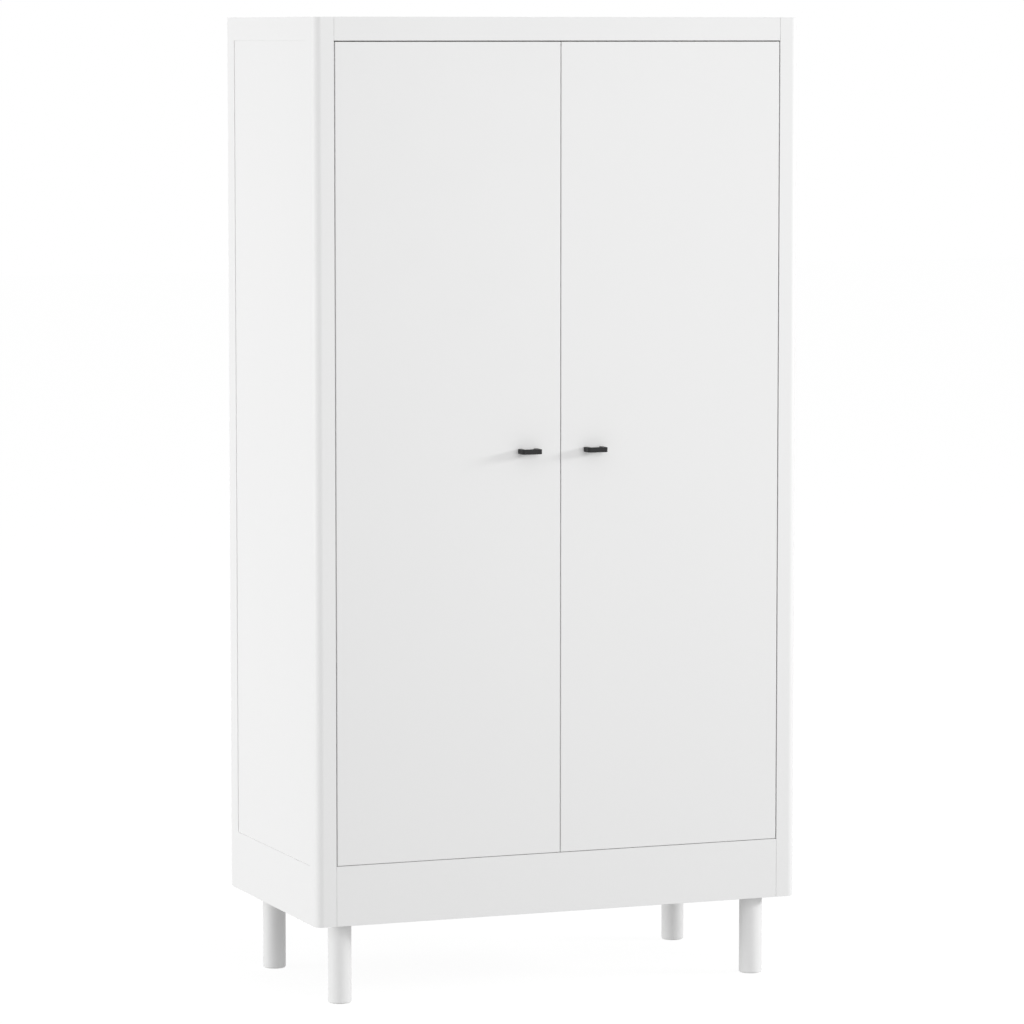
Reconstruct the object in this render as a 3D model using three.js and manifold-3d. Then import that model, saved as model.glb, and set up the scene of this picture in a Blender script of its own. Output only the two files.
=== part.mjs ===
// A free-standing wardrobe with two inset doors on four round legs.
// Lacquered posts and rails frame the side panels, thin back panels and a loose interior.
// Millimetres, +Z up, doors facing -Y, origin on the floor at the middle of the footprint.
import * as THREE from 'three';
import { mergeVertices } from 'three/addons/utils/BufferGeometryUtils.js';
import Module from 'manifold-3d';

const wasm = await Module();
wasm.setup();

// ---- Driving dimensions ----

// Case, without legs and handles
const CASE_WIDTH = 1060;
const CASE_DEPTH = 548;
const CASE_HEIGHT = 1832;
const BOARD = 18;

// Clearances
const GLUE_LINE = 0.1;
const SEAM = 0.4;
const FIT = 0.3;

// Posts, and the rails between them
const POST_WIDTH = 43;
const POST_NOSE_RADIUS = 17;
const TOP_RAIL_HEIGHT = 47.5;
const PLINTH_HEIGHT = 123;
const SIDE_LOW_RAIL_HEIGHT = 121;

// Side panels, set back a little from the frame round them
const PANEL_SETBACK = 1.5;
const PANEL_GAP = 0.3;
const TONGUE_LENGTH = 7;
const TONGUE_THICKNESS = 6;

// Back panels in grooves, joined at the middle by an H strip
const BACK_PANEL_THICKNESS = 4;
const BACK_PANEL_INSET = 8;
const BACK_GROOVE_DEPTH = 8;
const STRIP_WIDTH = 24;
const STRIP_WEB = 3;
const STRIP_WALL = 1.6;

// Floor, hat shelf and its pins
const FLOOR_RISE = 9.2;
const DOOR_SWING_CLEARANCE = 1;
const SHELF_TOP_HEIGHT = 1690;
const SHELF_SETBACK = 3;
const PIN_STEM_RADIUS = 2.5;
const PIN_PEG_RADIUS = 4;
const PIN_INSERTION = 9;
const PIN_REACH = 10;
const PIN_INSET = 100;

// Clothes rail and its sockets
const TUBE_RADIUS = 12.5;
const TUBE_WALL = 1.2;
const TUBE_DROP = 62;
const SOCKET_FLANGE_RADIUS = 26;
const SOCKET_FLANGE_THICKNESS = 4;
const SOCKET_WALL = 2.5;
const SOCKET_DEPTH = 14;

// Legs, glides and the bearers that the legs screw into
const LEG_RADIUS = 24;
const LEG_HEIGHT = 168;
const LEG_EDGE = 1;
const LEG_SIDE_INSET = 72;
const LEG_FRONT_INSET = 66;
const STUD_RADIUS = 4;
const STUD_LENGTH = 18;
const BEARER_WIDTH = 80;
const BEARER_THICKNESS = 24;
const GLIDE_RADIUS = 22.5;
const GLIDE_THICKNESS = 2;
const GLIDE_EDGE = 0.5;
const GLIDE_STEM_RADIUS = 3;
const GLIDE_STEM_LENGTH = 14;

// Doors
const DOOR_THICKNESS = 18;
const DOOR_GAP = 2;
const DOOR_BOTTOM_GAP = 0.9;
const DOOR_MIDDLE_GAP = 1.4;

// Bow handles
const HANDLE_WIDTH = 43;
const HANDLE_HEIGHT = 10;
const HANDLE_REACH = 28;
const HANDLE_BAR = 9;
const HANDLE_FOOT = 9;
const HANDLE_CORNER = 5;
const HANDLE_EDGE = 1;
const HANDLE_INSET = 72;

// Concealed hinges. Their plan is measured as u, inwards from the post's inner face,
// and v, backwards from the front of the case.
const HINGE_AXIS_U = 12;
const HINGE_AXIS_V = 5.5;
const HINGE_END_DISTANCE = 100;
const CUP_RADIUS = 17.5;
const CUP_DEPTH = 12;
const CUP_WALL = 1;
const CUP_TAB = 5;
const CUP_FIT = 0.25;
const FLANGE_THICKNESS = 1.2;
const FLANGE_RIM = 1;
const FLANGE_WIDTH = 22;
const FLANGE_HEIGHT = 62;
const LINK_PIVOT_U = 17.5;
const LINK_PIVOT_V = 25.5;
const LINK_ELBOW_U = 40;
const LINK_ELBOW_V = 26.5;
const LINK_TIP_U = 38.5;
const LINK_TIP_V = 9.8;
const LINK_THICKNESS = 1.6;
const LINK_WIDTH = 9;
const LINK_EYE_RADIUS = 3;
const LINK_TIP_RADIUS = 1.5;
const TIP_REST_MARGIN = 1;
const PIVOT_PIN_RADIUS = 1.5;
const PIVOT_FIT = 0.4;
const ARM_HEIGHT = 14;
const ARM_EAR_RADIUS = 3.4;
const ARM_SETBACK = 5.2;
const ARM_SLOT_CLEARANCE = 0.5;
const PLATE_THICKNESS = 3.2;
const PLATE_HEIGHT = 56;
const PLATE_DEPTH = 18;

// Flats round each turned piece
const LEG_SIDES = 36;
const TUBE_SIDES = 28;
const CUP_SIDES = 24;
const SMALL_SIDES = 16;
const NOSE_SEGMENTS = 16;
const HANDLE_SEGMENTS = 4;

// ---- Places worked out from the driving dimensions ----

const FRONT = (HANDLE_REACH - CASE_DEPTH) / 2;
const BACK = FRONT + CASE_DEPTH;
const HALF = CASE_WIDTH / 2;
const CASE_BOTTOM = LEG_HEIGHT;
const CASE_TOP = CASE_BOTTOM + CASE_HEIGHT;
const POST_INNER = HALF - POST_WIDTH;
const SIDE_INNER = HALF - BOARD;
const TOP_RAIL_BOTTOM = CASE_TOP - TOP_RAIL_HEIGHT;
const PLINTH_TOP = CASE_BOTTOM + PLINTH_HEIGHT;
const SIDE_LOW_RAIL_TOP = CASE_BOTTOM + SIDE_LOW_RAIL_HEIGHT;
const DOOR_BOTTOM = PLINTH_TOP + DOOR_BOTTOM_GAP;
const DOOR_TOP = TOP_RAIL_BOTTOM - DOOR_GAP;
const DOOR_WIDTH = POST_INNER - DOOR_GAP - DOOR_MIDDLE_GAP / 2;
const DOOR_SWING_RADIUS = Math.hypot(HINGE_AXIS_U - DOOR_GAP, DOOR_THICKNESS - HINGE_AXIS_V);
const FLOOR_TOP = PLINTH_TOP + FLOOR_RISE;
const BACK_PANEL_MIDDLE = BACK - BACK_PANEL_INSET - BACK_PANEL_THICKNESS / 2;
const STRIP_DEPTH = BACK_PANEL_THICKNESS + 2 * (FIT + STRIP_WALL);
const CUP_U = DOOR_GAP + CUP_TAB + CUP_RADIUS;
const LEG_BACK_INSET = LEG_FRONT_INSET;
const LEFT = -1;
const RIGHT = 1;

// ---- Materials ----

const lacquer = new THREE.MeshStandardMaterial({ color: 0xf2f2f2, roughness: 0.45, metalness: 0 });
const melamine = new THREE.MeshStandardMaterial({ color: 0xf0f0ee, roughness: 0.55, metalness: 0 });
const hardboard = new THREE.MeshStandardMaterial({ color: 0xeeeeec, roughness: 0.7, metalness: 0 });
const blackPaint = new THREE.MeshStandardMaterial({ color: 0x1c1c1c, roughness: 0.5, metalness: 0.2 });
const nickel = new THREE.MeshStandardMaterial({ color: 0xb8b6b0, roughness: 0.35, metalness: 1 });
const chrome = new THREE.MeshStandardMaterial({ color: 0xdcdde0, roughness: 0.12, metalness: 1 });
const plastic = new THREE.MeshStandardMaterial({ color: 0xe9e9e7, roughness: 0.6, metalness: 0 });

// ---- Solids ----

function toSolid(geometry) {
  const bare = geometry.clone();
  bare.deleteAttribute('normal');
  bare.deleteAttribute('uv');
  const merged = mergeVertices(bare, 1e-4);
  const index = merged.index.array;
  const faces = [];
  for (let i = 0; i < index.length; i += 3) {
    const [a, b, c] = [index[i], index[i + 1], index[i + 2]];
    if (a !== b && b !== c && c !== a) faces.push(a, b, c);
  }
  return new wasm.Manifold(new wasm.Mesh({
    numProp: 3,
    vertProperties: new Float32Array(merged.attributes.position.array),
    triVerts: new Uint32Array(faces),
  }));
}

function toGeometry(solid) {
  const mesh = solid.getMesh();
  const indexed = new THREE.BufferGeometry();
  indexed.setAttribute('position', new THREE.BufferAttribute(mesh.vertProperties, 3));
  indexed.setIndex(new THREE.BufferAttribute(mesh.triVerts, 1));
  const flat = indexed.toNonIndexed();
  flat.computeVertexNormals();
  return flat;
}

function shaped(base, { add = [], cut = [] }) {
  let solid = toSolid(base);
  for (const piece of add) solid = solid.add(toSolid(piece));
  for (const piece of cut) solid = solid.subtract(toSolid(piece));
  return toGeometry(solid);
}

// A box between two limits along each axis, in either order.
function block([x0, x1], [y0, y1], [z0, z1]) {
  const box = new THREE.BoxGeometry(Math.abs(x1 - x0), Math.abs(y1 - y0), Math.abs(z1 - z0));
  return box.translate((x0 + x1) / 2, (y0 + y1) / 2, (z0 + z1) / 2);
}

// An outline in the XY plane, raised from z0 to z1.
function prism(outline, [z0, z1]) {
  const options = { depth: z1 - z0, bevelEnabled: false, curveSegments: NOSE_SEGMENTS };
  return new THREE.ExtrudeGeometry(outline, options).translate(0, 0, z0);
}

function polygon(points) {
  return new THREE.Shape(points.map(([x, y]) => new THREE.Vector2(x, y)));
}

// A round bar along Z.
function bar(radius, [z0, z1], [x, y] = [0, 0]) {
  const cylinder = new THREE.CylinderGeometry(radius, radius, z1 - z0, SMALL_SIDES).rotateX(Math.PI / 2);
  return cylinder.translate(x, y, (z0 + z1) / 2);
}

// A turned solid about Z from (radius, height) pairs, listed upwards along the outside.
function turned(profile, sides) {
  const points = profile.map(([radius, height]) => new THREE.Vector2(radius, height));
  return new THREE.LatheGeometry(points, sides).rotateX(Math.PI / 2);
}

const wardrobe = new THREE.Group();

// Names a piece, gives it its finish and stands its own origin at a place in its group.
function place(name, geometry, material, [x, y, z] = [0, 0, 0], group = wardrobe) {
  const mesh = new THREE.Mesh(geometry, material);
  mesh.name = name;
  mesh.position.set(x, y, z);
  group.add(mesh);
  return mesh;
}

function sideName(side) {
  return side === LEFT ? 'left' : 'right';
}

// ---- Posts ----

// The groove for a side panel's tongue, along the whole height that the tongue takes.
function sideTongueGroove(side, [y0, y1]) {
  const middle = side * (HALF - BOARD / 2);
  const half = TONGUE_THICKNESS / 2 + FIT;
  const low = SIDE_LOW_RAIL_TOP + PANEL_GAP - TONGUE_LENGTH - FIT;
  const high = TOP_RAIL_BOTTOM - PANEL_GAP + TONGUE_LENGTH + FIT;
  return block([middle - half, middle + half], [y0, y1], [low, high]);
}

// The groove for a back panel's edge in a back post.
function backPanelGroove(side) {
  const half = BACK_PANEL_THICKNESS / 2 + FIT;
  const low = FLOOR_TOP - BACK_GROOVE_DEPTH - FIT;
  const high = TOP_RAIL_BOTTOM + BACK_GROOVE_DEPTH + FIT;
  const inner = side * (POST_INNER - 1);
  const bottom = side * (POST_INNER + BACK_GROOVE_DEPTH + FIT);
  return block([inner, bottom], [BACK_PANEL_MIDDLE - half, BACK_PANEL_MIDDLE + half], [low, high]);
}

function makeFrontPost(side) {
  const outer = side * HALF;
  const inner = side * POST_INNER;
  const rear = FRONT + POST_WIDTH;
  const outline = new THREE.Shape();
  outline.moveTo(inner, rear);
  outline.lineTo(inner, FRONT);
  outline.lineTo(outer - side * POST_NOSE_RADIUS, FRONT);
  const start = -Math.PI / 2;
  const end = side === RIGHT ? 0 : -Math.PI;
  const centreX = outer - side * POST_NOSE_RADIUS;
  outline.absarc(centreX, FRONT + POST_NOSE_RADIUS, POST_NOSE_RADIUS, start, end, side === LEFT);
  outline.lineTo(outer, rear);
  const post = prism(outline, [CASE_BOTTOM, CASE_TOP]);
  const groove = sideTongueGroove(side, [rear - PANEL_GAP - TONGUE_LENGTH - FIT, rear + 1]);
  place(`front_post_${sideName(side)}`, shaped(post, { cut: [groove] }), lacquer);
}

function makeBackPost(side) {
  const face = BACK - POST_WIDTH;
  const post = block([side * HALF, side * POST_INNER], [face, BACK], [CASE_BOTTOM, CASE_TOP]);
  const groove = sideTongueGroove(side, [face - 1, face + PANEL_GAP + TONGUE_LENGTH + FIT]);
  const geometry = shaped(post, { cut: [groove, backPanelGroove(side)] });
  place(`back_post_${sideName(side)}`, geometry, lacquer);
}

// ---- Side frames and panels ----

function makeSideRails(side) {
  const across = [side * HALF, side * SIDE_INNER];
  const along = [FRONT + POST_WIDTH + GLUE_LINE, BACK - POST_WIDTH - GLUE_LINE];
  const topEdge = TOP_RAIL_BOTTOM;
  const lowEdge = SIDE_LOW_RAIL_TOP;
  const middle = side * (HALF - BOARD / 2);
  const half = TONGUE_THICKNESS / 2 + FIT;
  const depth = TONGUE_LENGTH - PANEL_GAP + FIT;
  const slot = [middle - half, middle + half];
  const beyond = [along[0] - 1, along[1] + 1];
  const top = shaped(block(across, along, [topEdge, CASE_TOP]), {
    cut: [block(slot, beyond, [topEdge - 1, topEdge + depth])],
  });
  const low = shaped(block(across, along, [CASE_BOTTOM, lowEdge]), {
    cut: [block(slot, beyond, [lowEdge - depth, lowEdge + 1])],
  });
  place(`side_top_rail_${sideName(side)}`, top, lacquer);
  place(`side_low_rail_${sideName(side)}`, low, lacquer);
}

function pinPlaces() {
  const height = SHELF_TOP_HEIGHT - BOARD - FIT - PIN_PEG_RADIUS;
  const front = FRONT + POST_WIDTH + PIN_INSET;
  const back = BACK - POST_WIDTH - PIN_INSET;
  return [['front', front, height], ['back', back, height]];
}

function makeSidePanel(side) {
  const y = [FRONT + POST_WIDTH + PANEL_GAP, BACK - POST_WIDTH - PANEL_GAP];
  const z = [SIDE_LOW_RAIL_TOP + PANEL_GAP, TOP_RAIL_BOTTOM - PANEL_GAP];
  const middle = side * (HALF - BOARD / 2);
  const reach = TONGUE_LENGTH;
  const tongue = block(
    [middle - TONGUE_THICKNESS / 2, middle + TONGUE_THICKNESS / 2],
    [y[0] - reach, y[1] + reach],
    [z[0] - reach + PANEL_GAP, z[1] + reach - PANEL_GAP],
  );
  const holes = pinPlaces().map(([, holeY, holeZ]) => {
    const hole = bar(PIN_STEM_RADIUS + FIT / 2, [0, PIN_INSERTION + FIT + 1]);
    hole.rotateY(side * Math.PI / 2);
    return hole.translate(side * (SIDE_INNER - 1), holeY, holeZ);
  });
  const across = [side * (HALF - PANEL_SETBACK), side * SIDE_INNER];
  const panel = shaped(block(across, y, z), { add: [tongue], cut: holes });
  place(`side_panel_${sideName(side)}`, panel, lacquer);
}

// ---- Front and back rails ----

function makeFrontRails() {
  const across = [-POST_INNER + SEAM, POST_INNER - SEAM];
  const through = [FRONT, FRONT + BOARD];
  place('front_top_rail', block(across, through, [TOP_RAIL_BOTTOM, CASE_TOP]), lacquer);
  place('plinth_rail', block(across, through, [CASE_BOTTOM, PLINTH_TOP]), lacquer);
}

function makeBackRails() {
  const across = [-POST_INNER + SEAM, POST_INNER - SEAM];
  const through = [BACK - BOARD, BACK];
  const beyond = [across[0] - 1, across[1] + 1];
  const half = BACK_PANEL_THICKNESS / 2 + FIT;
  const slot = [BACK_PANEL_MIDDLE - half, BACK_PANEL_MIDDLE + half];
  const depth = BACK_GROOVE_DEPTH + FIT;
  const top = shaped(block(across, through, [TOP_RAIL_BOTTOM, CASE_TOP]), {
    cut: [block(beyond, slot, [TOP_RAIL_BOTTOM - 1, TOP_RAIL_BOTTOM + depth])],
  });
  const low = shaped(block(across, through, [CASE_BOTTOM, FLOOR_TOP]), {
    cut: [block(beyond, slot, [FLOOR_TOP - depth, FLOOR_TOP + 1])],
  });
  place('back_top_rail', top, lacquer);
  place('back_low_rail', low, lacquer);
}

// ---- Top, floor and back ----

// A board that fills the case between its rails and is notched round the posts.
function notchedBoard(front, back, clearance, notchFront) {
  const x = SIDE_INNER - clearance;
  const postX = POST_INNER - clearance;
  const postFront = FRONT + POST_WIDTH + clearance;
  const postBack = BACK - POST_WIDTH - clearance;
  const rightHalf = [
    ...(notchFront ? [[postX, front], [postX, postFront], [x, postFront]] : [[x, front]]),
    [x, postBack],
    [postX, postBack],
    [postX, back],
  ];
  const leftHalf = rightHalf.map(([px, py]) => [-px, py]).reverse();
  return polygon([...rightHalf, ...leftHalf]);
}

function makeTopPanel() {
  const outline = notchedBoard(FRONT + BOARD + SEAM, BACK - BOARD - SEAM, SEAM, true);
  place('top_panel', prism(outline, [CASE_TOP - BOARD, CASE_TOP]), lacquer);
}

// The floor starts behind the arc that the inner corner of an opening door sweeps.
function makeFloorPanel() {
  const front = FRONT + HINGE_AXIS_V + DOOR_SWING_RADIUS + DOOR_SWING_CLEARANCE;
  const outline = notchedBoard(front, BACK - BOARD - FIT, FIT, true);
  place('floor_panel', prism(outline, [FLOOR_TOP - BOARD, FLOOR_TOP]), melamine);
}

function makeBackPanels() {
  const through = [
    BACK_PANEL_MIDDLE - BACK_PANEL_THICKNESS / 2,
    BACK_PANEL_MIDDLE + BACK_PANEL_THICKNESS / 2,
  ];
  const height = [FLOOR_TOP - BACK_GROOVE_DEPTH, TOP_RAIL_BOTTOM + BACK_GROOVE_DEPTH];
  for (const side of [LEFT, RIGHT]) {
    const across = [side * (STRIP_WEB / 2 + FIT), side * (POST_INNER + BACK_GROOVE_DEPTH)];
    place(`back_panel_${sideName(side)}`, block(across, through, height), hardboard);
  }
}

function makeBackStrip() {
  const height = [FLOOR_TOP + FIT, TOP_RAIL_BOTTOM - FIT];
  const flange = [-STRIP_WIDTH / 2, STRIP_WIDTH / 2];
  const y = [BACK_PANEL_MIDDLE - STRIP_DEPTH / 2, BACK_PANEL_MIDDLE + STRIP_DEPTH / 2];
  const web = [-STRIP_WEB / 2, STRIP_WEB / 2];
  const strip = shaped(block(web, y, height), {
    add: [
      block(flange, [y[0], y[0] + STRIP_WALL], height),
      block(flange, [y[1] - STRIP_WALL, y[1]], height),
    ],
  });
  place('back_panel_strip', strip, plastic);
}

// ---- Hat shelf, pins and clothes rail ----

function makeHatShelf() {
  const front = FRONT + POST_WIDTH + SHELF_SETBACK;
  const back = BACK_PANEL_MIDDLE - STRIP_DEPTH / 2 - FIT;
  const outline = notchedBoard(front, back, FIT, false);
  place('hat_shelf', prism(outline, [SHELF_TOP_HEIGHT - BOARD, SHELF_TOP_HEIGHT]), melamine);
}

// A pin lies along X, with its stem in the side panel's hole and its thicker peg under the shelf.
function makeShelfPins(side) {
  const profile = [
    [0, -PIN_INSERTION],
    [PIN_STEM_RADIUS, -PIN_INSERTION],
    [PIN_STEM_RADIUS, FIT],
    [PIN_PEG_RADIUS, FIT],
    [PIN_PEG_RADIUS, PIN_REACH],
    [0, PIN_REACH],
  ];
  for (const [where, y, z] of pinPlaces()) {
    const pin = toGeometry(toSolid(turned(profile, SMALL_SIDES).rotateY(-side * Math.PI / 2)));
    place(`shelf_pin_${where}_${sideName(side)}`, pin, nickel, [side * SIDE_INNER, y, z]);
  }
}

const TUBE_Y = (FRONT + BACK) / 2;
const TUBE_Z = SHELF_TOP_HEIGHT - BOARD - TUBE_DROP;

function makeClothesRail() {
  const end = SIDE_INNER - SOCKET_FLANGE_THICKNESS - 2 * FIT;
  const inner = TUBE_RADIUS - TUBE_WALL;
  const profile = [[inner, -end], [TUBE_RADIUS, -end], [TUBE_RADIUS, end], [inner, end], [inner, -end]];
  const tube = toGeometry(toSolid(turned(profile, TUBE_SIDES).rotateY(Math.PI / 2)));
  place('clothes_rail', tube, chrome, [0, TUBE_Y, TUBE_Z]);
}

function makeRailSocket(side) {
  const bore = TUBE_RADIUS + FIT;
  const profile = [
    [0, FIT],
    [SOCKET_FLANGE_RADIUS, FIT],
    [SOCKET_FLANGE_RADIUS, SOCKET_FLANGE_THICKNESS],
    [bore + SOCKET_WALL, SOCKET_FLANGE_THICKNESS],
    [bore + SOCKET_WALL, SOCKET_DEPTH],
    [bore, SOCKET_DEPTH],
    [bore, SOCKET_FLANGE_THICKNESS],
    [0, SOCKET_FLANGE_THICKNESS],
  ];
  const socket = toGeometry(toSolid(turned(profile, TUBE_SIDES).rotateY(-side * Math.PI / 2)));
  place(`rail_socket_${sideName(side)}`, socket, chrome, [side * SIDE_INNER, TUBE_Y, TUBE_Z]);
}

// ---- Legs ----

const LEG_PLACES = [
  ['front', FRONT + LEG_FRONT_INSET],
  ['back', BACK - LEG_BACK_INSET],
];

function makeLegBearer(side) {
  const middle = side * (HALF - LEG_SIDE_INSET);
  const across = [side * (POST_INNER - FIT), side * (POST_INNER - FIT - BEARER_WIDTH)];
  const along = [FRONT + BOARD + FIT, BACK - BOARD - FIT];
  const height = [CASE_BOTTOM, CASE_BOTTOM + BEARER_THICKNESS];
  const sockets = LEG_PLACES.map(([, y]) => {
    const reach = [CASE_BOTTOM - 1, CASE_BOTTOM + STUD_LENGTH + FIT];
    return bar(STUD_RADIUS + FIT, reach, [middle, y]);
  });
  const bearer = shaped(block(across, along, height), { cut: sockets });
  place(`leg_bearer_${sideName(side)}`, bearer, melamine);
}

// The leg's stud is screwed into its top end, and its glide is pushed into its lower end.
function makeLeg(side, where, y) {
  const x = side * (HALF - LEG_SIDE_INSET);
  const low = GLIDE_THICKNESS + FIT;
  const high = CASE_BOTTOM - FIT;
  const stemRadius = GLIDE_STEM_RADIUS + FIT;
  const stemTop = GLIDE_THICKNESS + GLIDE_STEM_LENGTH + FIT;
  const leg = toGeometry(toSolid(turned([
    [0, stemTop],
    [stemRadius, stemTop],
    [stemRadius, low],
    [LEG_RADIUS - LEG_EDGE, low],
    [LEG_RADIUS, low + LEG_EDGE],
    [LEG_RADIUS, high],
    [STUD_RADIUS, high],
    [STUD_RADIUS, CASE_BOTTOM + STUD_LENGTH],
    [0, CASE_BOTTOM + STUD_LENGTH],
  ], LEG_SIDES)));
  place(`leg_${where}_${sideName(side)}`, leg, lacquer, [x, y, 0]);
  const glide = toGeometry(toSolid(turned([
    [0, 0],
    [GLIDE_RADIUS - GLIDE_EDGE, 0],
    [GLIDE_RADIUS, GLIDE_EDGE],
    [GLIDE_RADIUS, GLIDE_THICKNESS],
    [GLIDE_STEM_RADIUS, GLIDE_THICKNESS],
    [GLIDE_STEM_RADIUS, GLIDE_THICKNESS + GLIDE_STEM_LENGTH],
    [0, GLIDE_THICKNESS + GLIDE_STEM_LENGTH],
  ], CUP_SIDES)));
  place(`leg_glide_${where}_${sideName(side)}`, glide, plastic, [x, y, 0]);
}

// ---- Doors and handles ----

function hingeHeights() {
  return [
    ['low', DOOR_BOTTOM + HINGE_END_DISTANCE],
    ['middle', (DOOR_BOTTOM + DOOR_TOP) / 2],
    ['high', DOOR_TOP - HINGE_END_DISTANCE],
  ];
}

// Turns a hinge's own plan coordinates into the case's.
function hingePoint(side, [u, v]) {
  return [side * (POST_INNER - u), FRONT + v];
}

// A solid of turning about the depth axis, for the cups and their bores.
function turnedAlongDepth(profile) {
  const points = profile.map(([radius, depth]) => new THREE.Vector2(radius, depth));
  return new THREE.LatheGeometry(points, CUP_SIDES);
}

function makeDoor(side) {
  const across = [side * DOOR_MIDDLE_GAP / 2, side * (DOOR_MIDDLE_GAP / 2 + DOOR_WIDTH)];
  const through = [FRONT, FRONT + DOOR_THICKNESS];
  const [cupX] = hingePoint(side, [CUP_U, 0]);
  const radius = CUP_RADIUS + CUP_FIT;
  const floor = DOOR_THICKNESS - CUP_DEPTH - FIT;
  const bores = hingeHeights().map(([, z]) => {
    const profile = [[0, floor], [radius, floor], [radius, DOOR_THICKNESS + 1], [0, DOOR_THICKNESS + 1]];
    return turnedAlongDepth(profile).translate(cupX, FRONT, z);
  });
  const door = shaped(block(across, through, [DOOR_BOTTOM, DOOR_TOP]), { cut: bores });
  place(`door_${sideName(side)}`, door, lacquer);
}

function makeHandle(side) {
  const half = HANDLE_WIDTH / 2;
  const reach = HANDLE_REACH - GLUE_LINE;
  const inside = half - HANDLE_FOOT;
  const hollow = reach - HANDLE_BAR;
  const innerCorner = HANDLE_CORNER / 2;
  const outline = new THREE.Shape();
  outline.moveTo(half, 0);
  outline.lineTo(half, -reach + HANDLE_CORNER);
  outline.absarc(half - HANDLE_CORNER, -reach + HANDLE_CORNER, HANDLE_CORNER, 0, -Math.PI / 2, true);
  outline.lineTo(-half + HANDLE_CORNER, -reach);
  const turn = -reach + HANDLE_CORNER;
  outline.absarc(-half + HANDLE_CORNER, turn, HANDLE_CORNER, -Math.PI / 2, -Math.PI, true);
  outline.lineTo(-half, 0);
  outline.lineTo(-inside, 0);
  outline.lineTo(-inside, -hollow + innerCorner);
  outline.absarc(-inside + innerCorner, -hollow + innerCorner, innerCorner, Math.PI, 1.5 * Math.PI);
  outline.lineTo(inside - innerCorner, -hollow);
  outline.absarc(inside - innerCorner, -hollow + innerCorner, innerCorner, 1.5 * Math.PI, 2 * Math.PI);
  outline.lineTo(inside, 0);
  const options = {
    depth: HANDLE_HEIGHT - 2 * HANDLE_EDGE,
    bevelThickness: HANDLE_EDGE,
    bevelSize: HANDLE_EDGE,
    bevelOffset: -HANDLE_EDGE,
    bevelSegments: 1,
    curveSegments: HANDLE_SEGMENTS,
  };
  const bow = new THREE.ExtrudeGeometry(outline, options).translate(0, 0, -options.depth / 2);
  const height = (DOOR_BOTTOM + DOOR_TOP) / 2;
  const x = side * HANDLE_INSET;
  place(`handle_${sideName(side)}`, bow, blackPaint, [x, FRONT - GLUE_LINE, height]);
}

// ---- Hinges ----

// The cup holds a rest across its bottom, on which the link's rolled end lies while the door is shut.
function makeHingeCup(side, where, z) {
  const mouth = DOOR_THICKNESS + GLUE_LINE;
  const face = mouth + FLANGE_THICKNESS;
  const base = DOOR_THICKNESS - CUP_DEPTH;
  const bore = CUP_RADIUS - CUP_WALL;
  const shell = turnedAlongDepth([
    [0, base],
    [CUP_RADIUS, base],
    [CUP_RADIUS, mouth],
    [CUP_RADIUS + FLANGE_RIM, mouth],
    [CUP_RADIUS + FLANGE_RIM, face],
    [0, face],
  ]);
  const half = FLANGE_HEIGHT / 2;
  const wings = block([-FLANGE_WIDTH / 2, FLANGE_WIDTH / 2], [mouth, face], [-half, half]);
  const hollow = turnedAlongDepth([
    [0, base + CUP_WALL],
    [bore, base + CUP_WALL],
    [bore, face + 1],
    [0, face + 1],
  ]);
  const restTop = LINK_TIP_V - LINK_TIP_RADIUS - FIT;
  const restHalf = LINK_TIP_RADIUS + TIP_REST_MARGIN;
  const restMiddle = -side * (LINK_TIP_U - CUP_U);
  const rest = block(
    [restMiddle - restHalf, restMiddle + restHalf],
    [base + CUP_WALL / 2, restTop],
    [-LINK_WIDTH / 2, LINK_WIDTH / 2],
  );
  const cup = toGeometry(toSolid(shaped(shell, { add: [wings], cut: [hollow] })).add(toSolid(rest)));
  const [x, y] = hingePoint(side, [CUP_U, 0]);
  place(`hinge_cup_${where}_${sideName(side)}`, cup, nickel, [x, y, z]);
}

// A flat strip between two plan points, as thick as the link and as high as it is wide.
function linkStrip(from, to) {
  const length = Math.hypot(to[0] - from[0], to[1] - from[1]);
  const angle = Math.atan2(to[1] - from[1], to[0] - from[0]);
  const strip = new THREE.BoxGeometry(length, LINK_THICKNESS, LINK_WIDTH);
  return strip.rotateZ(angle).translate((from[0] + to[0]) / 2, (from[1] + to[1]) / 2, 0);
}

function makeHingeLink(side, where, z) {
  const pivot = hingePoint(side, [LINK_PIVOT_U, LINK_PIVOT_V]);
  const local = (u, v) => [-side * (u - LINK_PIVOT_U), v - LINK_PIVOT_V];
  const elbow = local(LINK_ELBOW_U, LINK_ELBOW_V);
  const tip = local(LINK_TIP_U, LINK_TIP_V);
  const height = [-LINK_WIDTH / 2, LINK_WIDTH / 2];
  const through = [height[0] - 1, height[1] + 1];
  const link = shaped(bar(LINK_EYE_RADIUS, height), {
    add: [
      linkStrip([0, 0], elbow),
      bar(LINK_THICKNESS / 2, height, elbow),
      linkStrip(elbow, tip),
      bar(LINK_TIP_RADIUS, height, tip),
    ],
    cut: [bar(PIVOT_PIN_RADIUS + PIVOT_FIT, through)],
  });
  place(`hinge_link_${where}_${sideName(side)}`, link, nickel, [...pivot, z]);
}

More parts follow.
